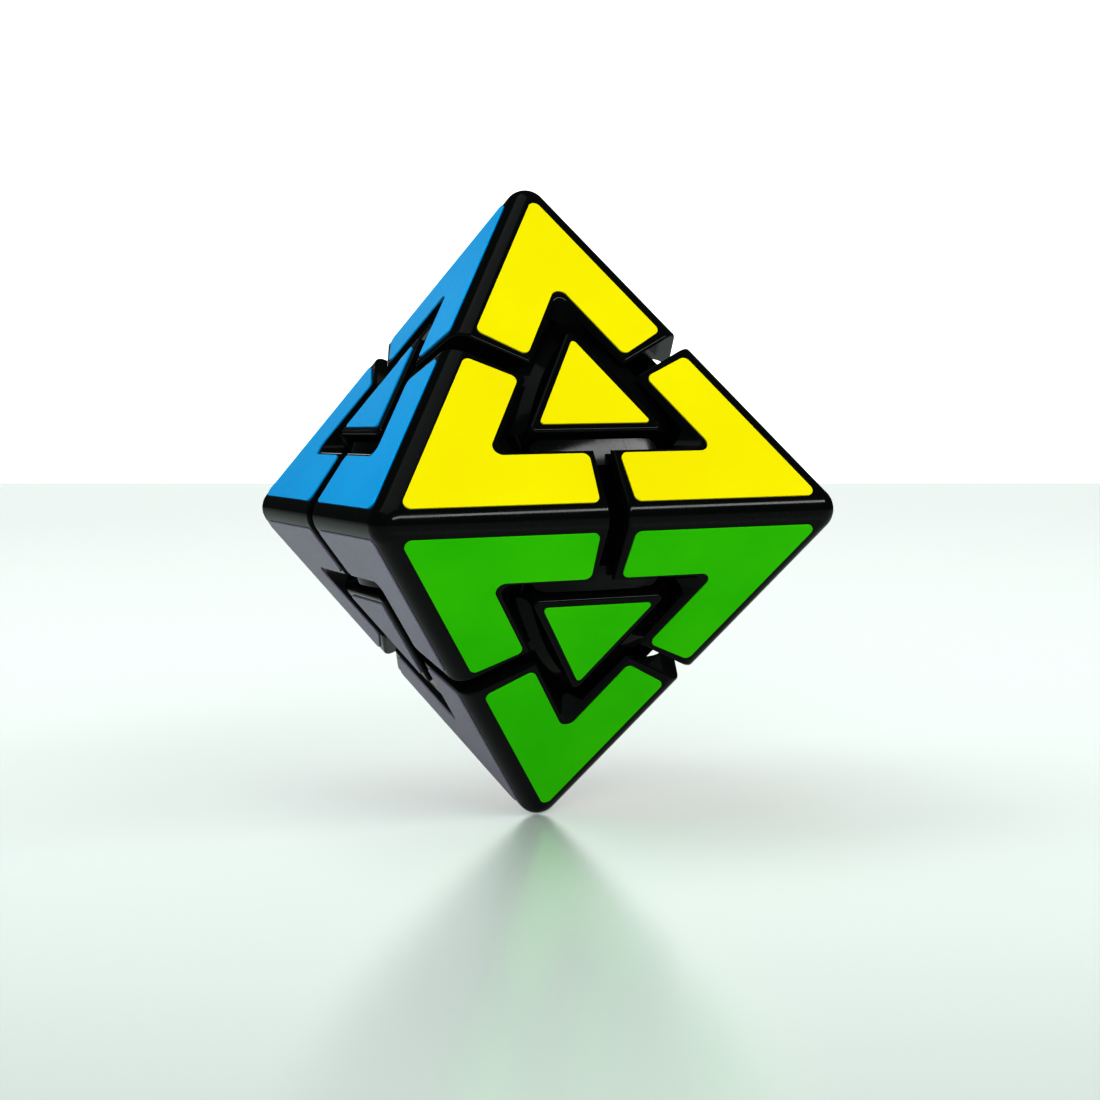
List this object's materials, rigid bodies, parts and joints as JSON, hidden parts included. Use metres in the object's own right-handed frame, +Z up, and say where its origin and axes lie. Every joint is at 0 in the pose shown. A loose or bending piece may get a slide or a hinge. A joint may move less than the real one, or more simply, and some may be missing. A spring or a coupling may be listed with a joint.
{
  "type": "octahedral twisty puzzle",
  "caption": "Octahedron-shaped twisty puzzle: corner pieces and triangular face pieces turn in layers about the corner axes on a sprung ball core.",
  "frame": {"origin": "centre of the octahedron, which is the centre of its box and of the ball core", "axes": "+Z up through the top corner, +X and +Y through the right and back corners; the corner nearest the viewer is on -Y"},
  "size_m": [0.0894, 0.0894, 0.0894],
  "materials": {
    "black_plastic": "glossy moulded black",
    "core_plastic": "satin moulded black",
    "screw_steel": "zinc plated",
    "spring_steel": "drawn wire",
    "sticker_yellow": "smooth vinyl",
    "sticker_blue": "smooth vinyl",
    "sticker_red": "smooth vinyl",
    "sticker_white": "smooth vinyl",
    "sticker_green": "smooth vinyl",
    "sticker_grey": "smooth vinyl",
    "sticker_orange": "smooth vinyl",
    "sticker_pink": "smooth vinyl"
  },
  "bodies": {
    "core": {"core_arms": "core_plastic", "core_ball_upper": "core_plastic", "core_ball_lower": "core_plastic", "screws": "screw_steel", "washers": "screw_steel", "springs": "spring_steel", "corner_shell_front": "black_plastic", "corner_stem_front": "core_plastic", "corner_shell_right": "black_plastic", "corner_stem_right": "core_plastic", "corner_shell_back": "black_plastic", "corner_stem_back": "core_plastic", "corner_shell_left": "black_plastic", "corner_stem_left": "core_plastic", "sticker_yellow_sides": "sticker_yellow", "sticker_blue_sides": "sticker_blue", "sticker_red_sides": "sticker_red", "sticker_white_sides": "sticker_white", "sticker_green_sides": "sticker_green", "sticker_grey_sides": "sticker_grey", "sticker_orange_sides": "sticker_orange", "sticker_pink_sides": "sticker_pink"},
    "top_layer": {"corner_shell_top": "black_plastic", "corner_stem_top": "core_plastic", "face_cap_yellow": "black_plastic", "face_foot_yellow": "black_plastic", "sticker_yellow_top": "sticker_yellow", "sticker_yellow_triangle": "sticker_yellow", "face_cap_blue": "black_plastic", "face_foot_blue": "black_plastic", "sticker_blue_top": "sticker_blue", "sticker_blue_triangle": "sticker_blue", "face_cap_red": "black_plastic", "face_foot_red": "black_plastic", "sticker_red_top": "sticker_red", "sticker_red_triangle": "sticker_red", "face_cap_white": "black_plastic", "face_foot_white": "black_plastic", "sticker_white_top": "sticker_white", "sticker_white_triangle": "sticker_white"},
    "bottom_layer": {"corner_shell_bottom": "black_plastic", "corner_stem_bottom": "core_plastic", "face_cap_green": "black_plastic", "face_foot_green": "black_plastic", "sticker_green_bottom": "sticker_green", "sticker_green_triangle": "sticker_green", "face_cap_grey": "black_plastic", "face_foot_grey": "black_plastic", "sticker_grey_bottom": "sticker_grey", "sticker_grey_triangle": "sticker_grey", "face_cap_orange": "black_plastic", "face_foot_orange": "black_plastic", "sticker_orange_bottom": "sticker_orange", "sticker_orange_triangle": "sticker_orange", "face_cap_pink": "black_plastic", "face_foot_pink": "black_plastic", "sticker_pink_bottom": "sticker_pink", "sticker_pink_triangle": "sticker_pink"}
  },
  "joints": [
    {"name": "top_layer_turn", "type": "hinge", "parent": "core", "child": "top_layer", "pos_m": [0, 0, 0], "axis": [0, 0, 1], "continuous": true},
    {"name": "bottom_layer_turn", "type": "hinge", "parent": "core", "child": "bottom_layer", "pos_m": [0, 0, 0], "axis": [0, 0, -1], "continuous": true}
  ]
}
